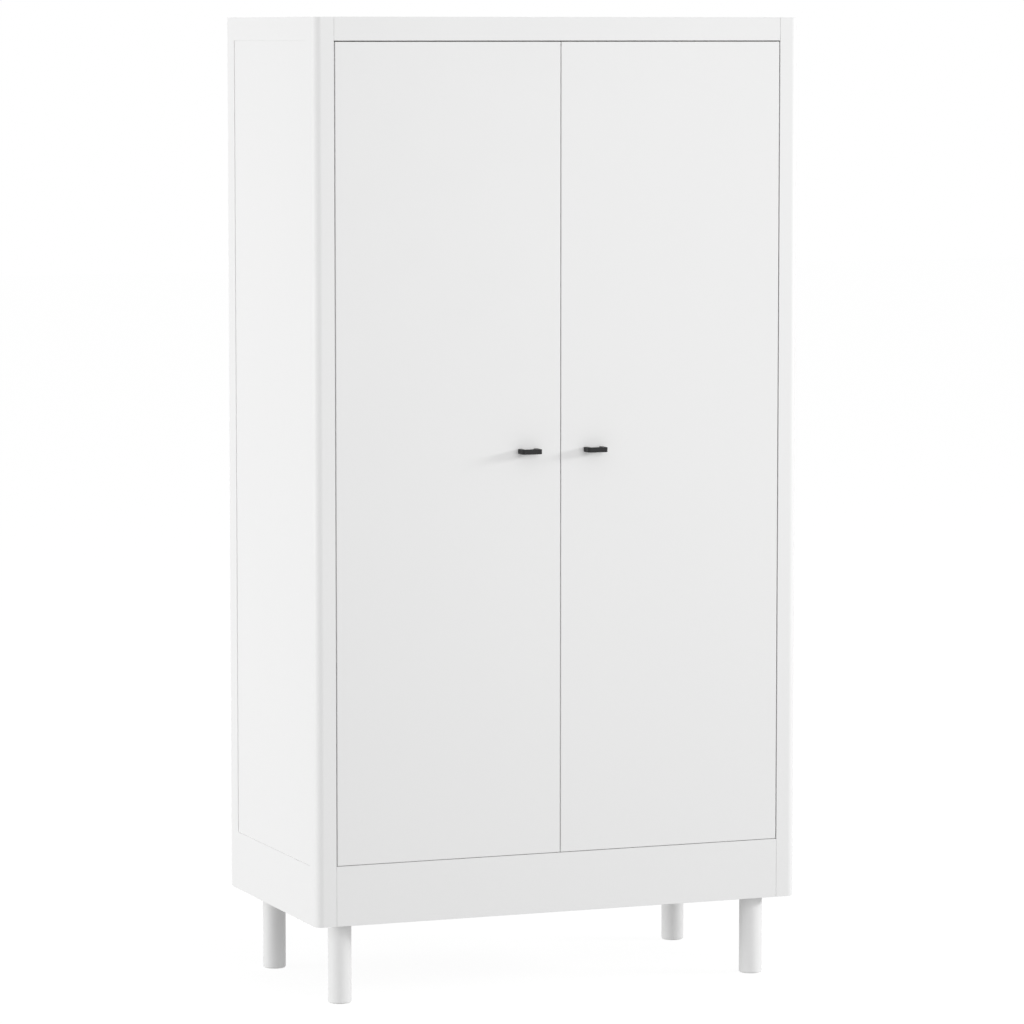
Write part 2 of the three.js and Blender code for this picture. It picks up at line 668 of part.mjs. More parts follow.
function makeHingeArm(side, where, z) {
  const local = (u, v) => hingePoint(side, [u, v]);
  const rear = POST_WIDTH;
  const plateFront = rear - PLATE_DEPTH - FIT;
  const nose = LINK_PIVOT_V - ARM_EAR_RADIUS;
  const [pivotX, pivotY] = local(LINK_PIVOT_U, LINK_PIVOT_V);
  const body = polygon([
    local(FIT, rear - FIT),
    local(FIT, DOOR_THICKNESS + ARM_SETBACK),
    local(LINK_PIVOT_U, nose),
    local(LINK_PIVOT_U, LINK_PIVOT_V + ARM_EAR_RADIUS),
    local(LINK_PIVOT_U - 2 * ARM_EAR_RADIUS, rear - FIT),
  ]);
  const height = [-ARM_HEIGHT / 2, ARM_HEIGHT / 2];
  const slotHalf = LINK_WIDTH / 2 + ARM_SLOT_CLEARANCE;
  const slotStart = LINK_PIVOT_U - LINK_EYE_RADIUS - 2 * ARM_SLOT_CLEARANCE;
  const [slotX0, slotY0] = local(slotStart, nose - 1);
  const [slotX1, slotY1] = local(LINK_PIVOT_U + 2 * ARM_EAR_RADIUS, rear + 1);
  const [plateX0, plateY0] = local(FIT, plateFront);
  const [plateX1, plateY1] = local(FIT + PLATE_THICKNESS, rear - FIT);
  const plateHalf = PLATE_HEIGHT / 2;
  const slotted = toGeometry(toSolid(prism(body, height))
    .add(toSolid(bar(ARM_EAR_RADIUS, height, [pivotX, pivotY])))
    .subtract(toSolid(block([slotX0, slotX1], [slotY0, slotY1], [-slotHalf, slotHalf]))));
  const arm = shaped(slotted, {
    add: [
      block([plateX0, plateX1], [plateY0, plateY1], [-plateHalf, plateHalf]),
      bar(PIVOT_PIN_RADIUS, height, [pivotX, pivotY]),
    ],
  });
  place(`hinge_arm_${where}_${sideName(side)}`, arm, nickel, [0, 0, z]);
}

// ---- Assembly ----

for (const side of [LEFT, RIGHT]) {
  makeFrontPost(side);
  makeBackPost(side);
  makeSideRails(side);
  makeSidePanel(side);
  makeShelfPins(side);
  makeRailSocket(side);
  makeLegBearer(side);
  for (const [where, y] of LEG_PLACES) makeLeg(side, where, y);
  makeDoor(side);
  makeHandle(side);
  for (const [where, z] of hingeHeights()) {
    makeHingeCup(side, where, z);
    makeHingeLink(side, where, z);
    makeHingeArm(side, where, z);
  }
}
makeFrontRails();
makeBackRails();
makeTopPanel();
makeFloorPanel();
makeBackPanels();
makeBackStrip();
makeHatShelf();
makeClothesRail();

export default wardrobe;
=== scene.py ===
"""A white two-door wardrobe on round legs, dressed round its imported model.

The file follows the wardrobe as it is put together: the studio, the lacquered frame, the boards,
the back, the fittings inside, the legs, the doors with their handles and hinges, the screws, the
cam fittings and the door buffers. Metres, +Z up, doors facing -Y.
"""

import math

import bmesh
import bpy
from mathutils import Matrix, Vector


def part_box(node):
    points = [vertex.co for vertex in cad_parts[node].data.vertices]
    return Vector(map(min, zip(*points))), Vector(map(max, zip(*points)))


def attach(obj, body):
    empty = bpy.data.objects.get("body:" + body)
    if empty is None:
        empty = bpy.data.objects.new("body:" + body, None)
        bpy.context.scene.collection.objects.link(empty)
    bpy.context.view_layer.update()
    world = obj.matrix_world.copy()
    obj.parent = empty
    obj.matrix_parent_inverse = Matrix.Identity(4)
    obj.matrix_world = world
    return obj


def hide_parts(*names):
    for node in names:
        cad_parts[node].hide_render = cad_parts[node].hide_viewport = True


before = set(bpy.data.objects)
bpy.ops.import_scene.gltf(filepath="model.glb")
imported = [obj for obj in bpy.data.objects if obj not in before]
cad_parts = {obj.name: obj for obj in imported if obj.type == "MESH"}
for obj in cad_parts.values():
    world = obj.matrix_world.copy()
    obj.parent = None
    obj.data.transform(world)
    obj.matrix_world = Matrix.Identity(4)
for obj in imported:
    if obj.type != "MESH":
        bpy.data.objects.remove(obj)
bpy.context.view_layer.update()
MM = 0.001

# ---------------------------------------------------------------------------------------------
# Studio: a long lens level with the wardrobe's top, turned a little to its left side, a pale
# floor lit a little from below that runs out to white, a key lamp at the far right, a wide low
# soft box at the left and a smaller one in front.

scene = bpy.context.scene
scene.view_settings.view_transform = "Standard"

LENS = 175.25
CAMERA_PLACE = Vector((-3.7856, -9.6601, 1.9624))
CAMERA_TURN = math.radians(21.374)
CAMERA_DIP = math.radians(5.458)

camera_data = bpy.data.cameras.new("camera")
camera_data.lens = LENS
camera_data.clip_end = 100
camera = bpy.data.objects.new("camera", camera_data)
camera.location = CAMERA_PLACE
camera.rotation_euler = (math.pi / 2 - CAMERA_DIP, 0, -CAMERA_TURN)
scene.collection.objects.link(camera)
scene.camera = camera


class Flow:
    """A number that flows between nodes, and takes part in arithmetic."""

    def __init__(self, recipe, socket):
        self.recipe = recipe
        self.socket = socket

    def _worked(self, operation, first, second):
        return self.recipe.node("ShaderNodeMath", {"operation": operation}, {0: first, 1: second})

    def __add__(self, other):
        return self._worked("ADD", self, other)

    def __sub__(self, other):
        return self._worked("SUBTRACT", self, other)

    def __rsub__(self, other):
        return self._worked("SUBTRACT", other, self)

    def __mul__(self, other):
        return self._worked("MULTIPLY", self, other)

    def __truediv__(self, other):
        return self._worked("DIVIDE", self, other)

    def over(self, edge):
        return self._worked("GREATER_THAN", self, edge)

    def top(self, other):
        return self._worked("MAXIMUM", self, other)

    __radd__ = __add__
    __rmul__ = __mul__


class Recipe:
    """A node tree whose nodes are added in one way."""

    def __init__(self, tree):
        self.tree = tree

    def node(self, kind, settings=None, inputs=None, output=0):
        """Adds a node, makes its settings, fills its sockets and gives one of its outputs."""
        made = self.tree.nodes.new(kind)
        for key, value in (settings or {}).items():
            setattr(made, key, value)
        for key, value in (inputs or {}).items():
            if isinstance(value, Flow):
                self.tree.links.new(value.socket, made.inputs[key])
            else:
                made.inputs[key].default_value = value
        return Flow(self, made.outputs[output])


class Finish(Recipe):
    """A procedural finish: one Principled shader, with constants on its own sockets."""

    def __init__(self, name, **constants):
        self.material = bpy.data.materials.new(name)
        self.material.use_nodes = True
        super().__init__(self.material.node_tree)
        self.shader = self.tree.nodes["Principled BSDF"]
        for socket, value in constants.items():
            self.shader.inputs[socket.replace("_", " ")].default_value = value
        self.place = self.node("ShaderNodeTexCoord", output="Object")

    def noise(self, scale, detail=2.0, roughness=0.5, stretch=None):
        """Smooth noise about zero; scale is in bumps for each metre."""
        where = self.place
        if stretch:
            where = self.node("ShaderNodeMapping", None, {"Vector": where, "Scale": stretch})
        sockets = {"Vector": where, "Scale": scale, "Detail": detail, "Roughness": roughness}
        return self.node("ShaderNodeTexNoise", {"noise_dimensions": "3D"}, sockets) - 0.5

    def shade(self, mask, light, dark):
        """Mixes two colours, each a tone or a flow, by a mask that runs from 0 to 1."""
        ends = [tone if isinstance(tone, Flow) else (*tone, 1) for tone in (light, dark)]
        sockets = {"Factor": mask, 6: ends[0], 7: ends[1]}
        return self.node("ShaderNodeMix", {"data_type": "RGBA"}, sockets, output=2)

    def feed(self, **flows):
        """Links flows to the shader's own sockets."""
        for socket, flow in flows.items():
            self.tree.links.new(flow.socket, self.shader.inputs[socket.replace("_", " ")])

    def bump(self, height, distance):
        """Raises the surface by a flow of heights, given as shares of a distance in metres."""
        sockets = {"Height": height, "Distance": distance, "Strength": 1.0}
        self.feed(Normal=self.node("ShaderNodeBump", None, sockets))


# The camera sees a nearly white floor that keeps a faint shadow. Scattered light meets a darker
# one, which gives part of its light evenly.
FLOOR_SIZE = 60.0
FLOOR_GLOW = 0.9
FLOOR_SHADOW_SHARE = 0.16
FLOOR_BOUNCE = 0.2
FLOOR_LIGHT = 0.36
AMBIENT = 0.6
WHITE = (1, 1, 1, 1)


def clear_view(recipe):
    """1 for what the camera sees directly, in gloss or through glass, and 0 for scattered light."""
    kinds = ("Is Camera Ray", "Is Glossy Ray", "Is Transmission Ray")
    rays = [recipe.node("ShaderNodeLightPath", output=kind) for kind in kinds]
    return rays[0].top(rays[1]).top(rays[2])


floor_mesh = bpy.data.meshes.new("floor")
reach = FLOOR_SIZE / 2
corners = [(-reach, -reach, 0), (reach, -reach, 0), (reach, reach, 0), (-reach, reach, 0)]
floor_mesh.from_pydata(corners, [], [(0, 1, 2, 3)])
floor = bpy.data.objects.new("studio_floor", floor_mesh)
scene.collection.objects.link(floor)

paper = Finish("studio_paper", Roughness=1.0)
bounce = paper.node("ShaderNodeBsdfDiffuse", None, {"Color": (FLOOR_BOUNCE,) * 3 + (1,)})
backlight = paper.node("ShaderNodeEmission", None, {"Color": WHITE, "Strength": FLOOR_LIGHT})
given = paper.node("ShaderNodeAddShader", None, {0: bounce, 1: backlight})
shadowed = paper.node("ShaderNodeBsdfDiffuse", None, {"Color": (FLOOR_SHADOW_SHARE,) * 3 + (1,)})
glow = paper.node("ShaderNodeEmission", None, {"Color": WHITE, "Strength": FLOOR_GLOW})
seen = paper.node("ShaderNodeAddShader", None, {0: shadowed, 1: glow})
mixed = paper.node("ShaderNodeMixShader", None, {0: clear_view(paper), 1: given, 2: seen})
paper.tree.links.new(mixed.socket, paper.tree.nodes["Material Output"].inputs["Surface"])
floor_mesh.materials.append(paper.material)


world = bpy.data.worlds.new("studio_sky")
world.use_nodes = True
sky = Recipe(world.node_tree)
strength = clear_view(sky) * (1 - AMBIENT) + AMBIENT
sky.tree.links.new(strength.socket, sky.tree.nodes["Background"].inputs["Strength"])
sky.tree.nodes["Background"].inputs["Color"].default_value = WHITE
scene.world = world


def add_lamp(name, place, aim, width, height, power):
    """Adds a rectangular soft lamp at a place, turned to face a point; its power is in watts."""
    lamp = bpy.data.lights.new(name, "AREA")
    lamp.shape = "RECTANGLE"
    lamp.size = width
    lamp.size_y = height
    lamp.energy = power
    holder = bpy.data.objects.new(name, lamp)
    holder.location = place
    holder.rotation_euler = (Vector(aim) - Vector(place)).to_track_quat("-Z", "Y").to_euler()
    scene.collection.objects.link(holder)


add_lamp("right_lamp", (8.7, -3.2, 3.0), aim=(0.3, -0.26, 1.2), width=2.6, height=1.1, power=338)
add_lamp("left_lamp", (-8.06, 1.8, 1.0), aim=(-0.5, 0.0, 1.1), width=6.0, height=1.8, power=290)
add_lamp("front_lamp", (0.6, -4.0, 1.9), aim=(0.2, -0.26, 1.25), width=2.6, height=2.2, power=40.5)

# ---------------------------------------------------------------------------------------------
# Side frames: posts and rails of fibreboard and solid wood, glued, filled and sprayed as one, so
# no joint shows. The front posts' outer corners are rounded over; all other edges are eased.

SPRAYED_EDGE = 0.9 * MM
GLUE_BRIDGE = 0.3 * MM
WELD_REACH = 0.001 * MM
FLAT_WITHIN = math.radians(0.5)
SHARP_FROM = math.radians(25)
EASED = "eased"
COAT = (0.872, 0.872, 0.870)
CLOUDED_COAT = (0.858, 0.859, 0.859)
THIN_COAT = (0.83, 0.828, 0.82)


def lacquer(name):
    """White matt lacquer: faint cloudiness, orange peel, and thinner cover on the eased edges."""
    finish = Finish(name, Coat_Weight=0.05, Coat_Roughness=0.4, Specular_IOR_Level=0.35)
    cloud = finish.noise(1.7, 3.0)
    edge = finish.node("ShaderNodeAttribute", {"attribute_name": EASED}, output="Fac")
    thin = edge * (finish.noise(35.0, 3.0) * 1.6 + 0.5)
    cover = finish.shade(cloud * 1.2 + 0.5, COAT, CLOUDED_COAT)
    finish.feed(Base_Color=finish.shade(thin, cover, THIN_COAT))
    finish.feed(Roughness=finish.noise(9.0, 4.0) * 0.16 + finish.noise(140.0) * 0.06 + 0.50)
    finish.bump(finish.noise(420.0, 3.0, 0.6) + finish.noise(60.0) * 0.5, 0.012 * MM)
    return finish.material


def welded(mesh):
    """A mesh with its loose triangles welded and its flat faces whole again, as a bmesh."""
    bm = bmesh.new()
    bm.from_mesh(mesh)
    bmesh.ops.remove_doubles(bm, verts=bm.verts, dist=WELD_REACH)
    bmesh.ops.dissolve_limit(bm, angle_limit=FLAT_WITHIN, verts=bm.verts, edges=bm.edges)
    return bm


def welded_node(node):
    """A CAD node's mesh, welded."""
    return welded(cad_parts[node].data)


def stand(name, bm):
    """Makes a named object from a bmesh, at the origin."""
    mesh = bpy.data.meshes.new(name)
    bm.to_mesh(mesh)
    bm.free()
    for spare in ("custom_normal", "UVMap"):
        if spare in mesh.attributes:
            mesh.attributes.remove(mesh.attributes[spare])
    made = bpy.data.objects.new(name, mesh)
    scene.collection.objects.link(made)
    return made


def settle(made):
    """Turns an object's live modifiers into its plain mesh."""
    evaluated = made.evaluated_get(bpy.context.evaluated_depsgraph_get())
    mesh = bpy.data.meshes.new_from_object(evaluated)
    made.modifiers.clear()
    made.data = mesh
    return made


def ease(made, radius, segments=3, clamp=True):
    """Rounds an object's sharp edges over, keeps its wide faces flat and marks the rounded strips.

    The rounding puts its strips in the second of two empty slots, which finish_piece clears. The
    clamp narrows it where fine features stand close together.
    """
    made.data.materials.clear()
    for _ in range(2):
        made.data.materials.append(None)
    made.data.polygons.foreach_set("material_index", [0] * len(made.data.polygons))
    bevel = made.modifiers.new("eased_edges", "BEVEL")
    bevel.width = radius
    bevel.segments = segments
    bevel.limit_method = "ANGLE"
    bevel.angle_limit = SHARP_FROM
    bevel.material = 1
    bevel.use_clamp_overlap = clamp
    made.data.shade_smooth()
    weighted = made.modifiers.new("flat_faces", "WEIGHTED_NORMAL")
    weighted.weight = 100
    settle(made)
    strips = [float(face.material_index) for face in made.data.polygons]
    made.data.attributes.new(EASED, "FLOAT", "FACE").data.foreach_set("value", strips)
    made.data.polygons.foreach_set("material_index", [0] * len(strips))
    return made


def finish_piece(made, body, slot, material, *nodes):
    """Gives a piece its finish and its body, and hides the CAD nodes it stands for; slot is not used.
    """
    made.data.materials.clear()
    made.data.materials.append(material)
    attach(made, body)
    if nodes:
        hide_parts(*nodes)
    return made


def eased_board(node, body, slot, material, radius, clamp=True):
    """The board of a CAD node with its edges eased, as a piece of the same body."""
    board = ease(stand(f"{node}_eased", welded_node(node)), radius, clamp=clamp)
    return finish_piece(board, body, slot, material, node)


frame_lacquer = lacquer("frame_lacquer")

for side in ("left", "right"):
    parts = ("front_post", "back_post", "side_top_rail", "side_low_rail")
    nodes = [f"{part}_{side}" for part in parts]
    side_frame = stand(f"side_frame_{side}", welded_node(nodes[0]))
    others = [stand(f"{node}_part", welded_node(node)) for node in nodes[1:]]
    for part in others[1:]:
        middle = sum(vertex.co.y for vertex in part.data.vertices) / len(part.data.vertices)
        for vertex in part.data.vertices:
            vertex.co.y += math.copysign(GLUE_BRIDGE, vertex.co.y - middle)
    for part in others:
        union = side_frame.modifiers.new("glued", "BOOLEAN")
        union.operation = "UNION"
        union.solver = "EXACT"
        union.object = part
    settle(side_frame)
    for part in others:
        bpy.data.objects.remove(part)
    bm = welded(side_frame.data)
    bm.to_mesh(side_frame.data)
    bm.free()
    ease(side_frame, SPRAYED_EDGE)
    finish_piece(side_frame, "carcass", "white_lacquer", frame_lacquer, *nodes)

# ---------------------------------------------------------------------------------------------
# Side panels: sprayed fibreboard on a tongue all round. Each is set back a little from its frame,
# and the lacquer fills the joint, so only the small step shows.

FILLED_JOINT = 0.3 * MM
PANEL_EDGE = 0.4 * MM

panel_lacquer = lacquer("panel_lacquer")
for side in ("left", "right"):
    node = f"side_panel_{side}"
    bm = welded_node(node)
    across = [abs(vertex.co.x) for vertex in bm.verts]
    inner, outer = min(across), max(across)
    broad = [vertex for vertex, x in zip(bm.verts, across)
             if x - inner < WELD_REACH or outer - x < WELD_REACH]
    for axis in (1, 2):
        places = [vertex.co[axis] for vertex in broad]
        for limit, way in ((min(places), -1), (max(places), 1)):
            rim = [vertex for vertex in broad if abs(vertex.co[axis] - limit) < WELD_REACH]
            for vertex in rim:
                vertex.co[axis] += way * FILLED_JOINT
    panel = ease(stand(f"{node}_filled", bm), PANEL_EDGE)
    finish_piece(panel, "carcass", "white_lacquer", panel_lacquer, node)

# ---------------------------------------------------------------------------------------------
# Front and back rails and the top panel: sprayed boards, drawn tight between the side frames, so
# a fine seam shows at each end.

RAIL_EDGE = 0.5 * MM

rail_lacquer = lacquer("rail_lacquer")
for node in ("front_top_rail", "plinth_rail", "back_top_rail", "back_low_rail", "top_panel"):
    eased_board(node, "carcass", "white_lacquer", rail_lacquer, RAIL_EDGE)

# ---------------------------------------------------------------------------------------------
# Floor panel, hat shelf and leg bearers: white melamine board. Its front edges are banded, and
# the sawn edges that never show from the front are left as bare chips.

BANDED_EDGE = 0.6 * MM
PEARL_WHITE = (0.868, 0.868, 0.862)
PEARL_SHADE = (0.856, 0.856, 0.850)
PALE_CHIP = (0.62, 0.47, 0.30)
DARK_CHIP = (0.36, 0.25, 0.15)


def melamine(name):
    """Melamine board: a pearl of fine pimples on its faces, and pale wood chips where it is sawn."""
    finish = Finish(name, Specular_IOR_Level=0.5)
    facing = finish.node("ShaderNodeTexCoord", output="Normal")
    along, upward = (finish.node("ShaderNodeSeparateXYZ", None, {0: facing}, axis) for axis in (1, 2))
    flat = (upward * upward).over(0.5)
    banded = (along * -1).over(0.5)
    sawn = 1 - flat.top(banded)
    sockets = {"Vector": finish.place, "Scale": 520.0}
    chips = finish.node("ShaderNodeTexVoronoi", {"feature": "F1"}, sockets)
    chip_tone = finish.noise(260.0, 2.0) * 0.9 + chips * 0.6 + 0.25
    wood = finish.shade(chip_tone, PALE_CHIP, DARK_CHIP)
    white = finish.shade(finish.noise(2.3, 3.0) + 0.5, PEARL_WHITE, PEARL_SHADE)
    finish.feed(Base_Color=finish.shade(sawn, white, wood))
    finish.feed(Roughness=sawn * 0.4 + finish.noise(11.0, 3.0) * 0.08 + 0.44)
    pimples = finish.noise(780.0, 2.0, 0.6) + sawn * chips * 3.0
    finish.bump(pimples, 0.035 * MM)
    return finish.material


board_white = melamine("board_white")
for node in ("floor_panel", "hat_shelf", "leg_bearer_left", "leg_bearer_right"):
    eased_board(node, "carcass", "white_board", board_white, BANDED_EDGE)

# ---------------------------------------------------------------------------------------------
# Back: two sheets of white-faced hardboard, slid into grooves in the posts and rails and joined
# at the middle by an extruded plastic H strip.

SHEET_EDGE = 0.4 * MM
STRIP_EDGE = 0.3 * MM
SHEET_FACE = (0.862, 0.862, 0.853)
SHEET_FACE_SHADE = (0.848, 0.848, 0.840)
SHEET_REAR = (0.80, 0.79, 0.765)
SHEET_REAR_SHADE = (0.70, 0.69, 0.66)

hardboard = Finish("hardboard_white", Specular_IOR_Level=0.35)
fibres = hardboard.noise(190.0, 4.0, 0.65)
mottle = hardboard.noise(5.0, 3.0)
facing = hardboard.node("ShaderNodeTexCoord", output="Normal")
rear = hardboard.node("ShaderNodeSeparateXYZ", None, {0: facing}, 1).over(0.5)
face_tone = hardboard.shade(mottle + 0.5, SHEET_FACE, SHEET_FACE_SHADE)
rear_tone = hardboard.shade(fibres * 1.6 + mottle + 0.5, SHEET_REAR, SHEET_REAR_SHADE)
hardboard.feed(Base_Color=hardboard.shade(rear, face_tone, rear_tone))
hardboard.feed(Roughness=fibres * 0.1 + rear * 0.15 + 0.6)
hardboard.bump(fibres + rear * hardboard.noise(900.0) * 2.0, 0.03 * MM)
for side in ("left", "right"):
    eased_board(f"back_panel_{side}", "carcass", "white_hardboard", hardboard.material, SHEET_EDGE)


def moulded(name, tone):
    """Satin moulded plastic with a fine spark-eroded skin."""
    finish = Finish(name, Specular_IOR_Level=0.5)
    drift = finish.noise(14.0, 2.0)
    lighter, darker = (tuple(part * share for part in tone) for share in (1.01, 0.98))
    finish.feed(Base_Color=finish.shade(drift + 0.5, lighter, darker))
    finish.feed(Roughness=finish.noise(300.0) * 0.12 + 0.46)
    finish.bump(finish.noise(1600.0, 2.0), 0.015 * MM)
    return finish.material


white_plastic = moulded("white_plastic", (0.84, 0.84, 0.83))
eased_board("back_panel_strip", "carcass", "white_plastic", white_plastic, STRIP_EDGE)

# ---------------------------------------------------------------------------------------------
# Shelf pins: turned steel, nickel plated. Two are pushed into each side panel, and the hat shelf
# lies on them.

WAYS = {"left": -1, "right": 1}
PIN_SIDES = 32
PIN_EDGE = 0.5 * MM
PIN_STANDOFF = 0.3 * MM
PIN_STEM_SHARE = 0.62


def plated(name, tone, rough, grain):
    """Bright plated metal: a little cloudiness, and hairlines that run along X."""
    finish = Finish(name, Metallic=1.0)
    cloud = finish.noise(30.0, 3.0)
    hairs = finish.noise(900.0, 2.0, stretch=(0.05, 1.0, 1.0))
    lighter, darker = (tuple(part * share for part in tone) for share in (1.03, 0.94))
    finish.feed(Base_Color=finish.shade(cloud + 0.5, lighter, darker))
    finish.feed(Roughness=cloud * 0.1 + hairs * grain + rough)
    finish.bump(hairs, 0.004 * MM)
    return finish.material


def join_rings(bm, low, high):
    """Faces between two rings of as many points; either ring can also be a single point."""
    sides = max(len(low), len(high))
    for step in range(sides):
        following = (step + 1) % sides
        corners = (low[step % len(low)], low[following % len(low)],
                   high[following % len(high)], high[step % len(high)])
        bm.faces.new(tuple(dict.fromkeys(corners)))


def lathe(name, profile, sides, centre, axis=(0, 0, 1)):
    """Turns (radius, height) pairs, listed upwards along the outside, about an axis into one piece."""
    turn = Vector((0, 0, 1)).rotation_difference(Vector(axis)).to_matrix()
    bm = bmesh.new()
    rings = []
    for radius, height in profile:
        if radius == 0:
            rings.append([bm.verts.new(turn @ Vector((0, 0, height)) + Vector(centre))])
            continue
        angles = [math.tau * step / sides for step in range(sides)]
        places = [(radius * math.cos(angle), radius * math.sin(angle), height) for angle in angles]
        rings.append([bm.verts.new(turn @ Vector(place) + Vector(centre)) for place in places])
    closed = len(rings[0]) > 1 and len(rings[-1]) > 1
    pairs = list(zip(rings, rings[1:])) + ([(rings[-1], rings[0])] if closed else [])
    for low, high in pairs:
        join_rings(bm, low, high)
    bmesh.ops.recalc_face_normals(bm, faces=bm.faces)
    return stand(name, bm)


def middle_of(node):
    """The middle of a CAD node's box."""
    low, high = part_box(node)
    return [(a + b) / 2 for a, b in zip(low, high)]


nickel = plated("nickel_plate", (0.62, 0.60, 0.57), 0.24, 0.1)
for side, way in WAYS.items():
    for where in ("front", "back"):
        node = f"shelf_pin_{where}_{side}"
        low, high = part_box(node)
        _, y, z = middle_of(node)
        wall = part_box(f"side_panel_{side}")
        seat = wall[1][0] if way < 0 else wall[0][0]
        inner, outer = (high[0], low[0]) if way < 0 else (low[0], high[0])
        peg = (high[2] - low[2]) / 2
        stem = peg * PIN_STEM_SHARE
        reach, depth = abs(inner - seat), abs(outer - seat)
        profile = [(0, -depth), (stem, -depth), (stem, PIN_STANDOFF)]
        profile += [(peg, PIN_STANDOFF), (peg, reach), (0, reach)]
        pin = lathe(f"{node}_turned", profile, PIN_SIDES, (seat, y, z), (-way, 0, 0))
        pin = ease(pin, PIN_EDGE)
        finish_piece(pin, "carcass", "nickel", nickel, node)

# ---------------------------------------------------------------------------------------------
# Clothes rail: a chromed steel tube that lies in two chromed flanged sockets, each screwed to
# its side panel.

TUBE_SIDES = 64
TUBE_WALL = 1.2 * MM
TUBE_EDGE = 0.3 * MM
SOCKET_EDGE = 0.8 * MM
SOCKET_WALL = 2.5 * MM
SOCKET_PLATE = 4.0 * MM
SOCKET_FIT = 0.3 * MM

chrome = plated("chrome_plate", (0.78, 0.78, 0.80), 0.09, 0.04)
low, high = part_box("clothes_rail")
tube_radius = (high[2] - low[2]) / 2
tube_place = (0, *middle_of("clothes_rail")[1:])
tube_end = high[0]
inner = tube_radius - TUBE_WALL
profile = [(inner, -tube_end), (tube_radius, -tube_end), (tube_radius, tube_end), (inner, tube_end)]
tube = ease(lathe("clothes_rail_tube", profile, TUBE_SIDES, tube_place, (1, 0, 0)), TUBE_EDGE)
finish_piece(tube, "carcass", "chrome", chrome, "clothes_rail")

for side, way in WAYS.items():
    node = f"rail_socket_{side}"
    low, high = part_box(node)
    flange = (high[2] - low[2]) / 2
    seat = (low[0] if way < 0 else high[0]) + way * SOCKET_FIT
    depth = high[0] - low[0] + SOCKET_FIT
    bore = tube_radius + SOCKET_FIT
    collar = bore + SOCKET_WALL
    profile = [(0, SOCKET_FIT), (flange, SOCKET_FIT), (flange, SOCKET_PLATE), (collar, SOCKET_PLATE)]
    profile += [(collar, depth), (bore, depth), (bore, SOCKET_PLATE), (0, SOCKET_PLATE)]
    place = (seat, *tube_place[1:])
    socket = ease(lathe(f"{node}_cast", profile, TUBE_SIDES, place, (-way, 0, 0)), SOCKET_EDGE)
    finish_piece(socket, "carcass", "chrome", chrome, node)

# ---------------------------------------------------------------------------------------------
# Legs: turned beech, sprayed white like the frame and screwed up into the bearers by a stud. A
# plastic glide is pushed into each lower end.

LEG_SIDES = 72
LEG_EDGE = 0.6 * MM
GLIDE_EDGE = 0.5 * MM
STUD_RADIUS = 4.0 * MM
STEM_RADIUS = 3.0 * MM
STEM_FIT = 0.3 * MM

leg_lacquer = lacquer("leg_lacquer")
case_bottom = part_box("plinth_rail")[0][2]
for side in ("left", "right"):
    for where in ("front", "back"):
        leg, glide = f"leg_{where}_{side}", f"leg_glide_{where}_{side}"
        low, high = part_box(leg)
        x, y, _ = middle_of(leg)
        radius = (high[0] - low[0]) / 2
        top = case_bottom - STEM_FIT
        stem_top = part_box(glide)[1][2] + STEM_FIT
        bored = STEM_RADIUS + STEM_FIT
        profile = [(0, stem_top), (bored, stem_top), (bored, low[2]), (radius, low[2]), (radius, top)]
        profile += [(STUD_RADIUS, top), (STUD_RADIUS, high[2]), (0, high[2])]
        turned = ease(lathe(f"{leg}_turned", profile, LEG_SIDES, (x, y, 0)), LEG_EDGE)
        finish_piece(turned, "carcass", "white_lacquer", leg_lacquer, leg)
        foot_low, foot_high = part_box(glide)
        sole = (foot_high[0] - foot_low[0]) / 2
        thick = low[2] - STEM_FIT
        profile = [(0, 0), (sole, 0), (sole, thick)]
        profile += [(STEM_RADIUS, thick), (STEM_RADIUS, foot_high[2]), (0, foot_high[2])]
        pad = ease(lathe(f"{glide}_moulded", profile, LEG_SIDES, (x, y, 0)), GLIDE_EDGE)
        finish_piece(pad, "carcass", "white_plastic", white_plastic, glide)

# ---------------------------------------------------------------------------------------------
# Doors: sprayed fibreboard, eased on all outer edges and bored at the back for the hinge cups.
# They lie flush between the posts and rails, with a fine gap all round.

DOOR_EDGE = 1.5 * MM

door_lacquer = lacquer("door_lacquer")
for side in ("left", "right"):
    eased_board(f"door_{side}", f"door_{side}", "white_lacquer", door_lacquer, DOOR_EDGE, clamp=False)

# ---------------------------------------------------------------------------------------------
# Handles: small bows sawn from flat bar, their corners rounded and edges broken, coated with a
# fine-textured black powder and screwed on from behind the doors.

BOW_BAR = 9.0 * MM
BOW_FOOT = 9.0 * MM
BOW_CORNER = 5.0 * MM
BOW_EDGE = 1.0 * MM
BOW_EDGE_STEPS = 4
CORNER_STEPS = 8
POWDER_BLACK = (0.019, 0.019, 0.020)
POWDER_SHADE = (0.014, 0.014, 0.015)

powder = Finish("black_powder", Specular_IOR_Level=0.25)
specks = powder.noise(1500.0, 3.0, 0.6)
powder.feed(Base_Color=powder.shade(powder.noise(60.0) + 0.5, POWDER_BLACK, POWDER_SHADE))
powder.feed(Roughness=specks * 0.2 + 0.5)
powder.bump(specks, 0.06 * MM)


def quarter(centre, radius, start):
    """Points of a quarter turn in plan, anticlockwise from an angle in quarters."""
    x, y = centre
    turns = (math.pi / 2 * (start + step / CORNER_STEPS) for step in range(CORNER_STEPS + 1))
    return [(x + radius * math.cos(turn), y + radius * math.sin(turn)) for turn in turns]


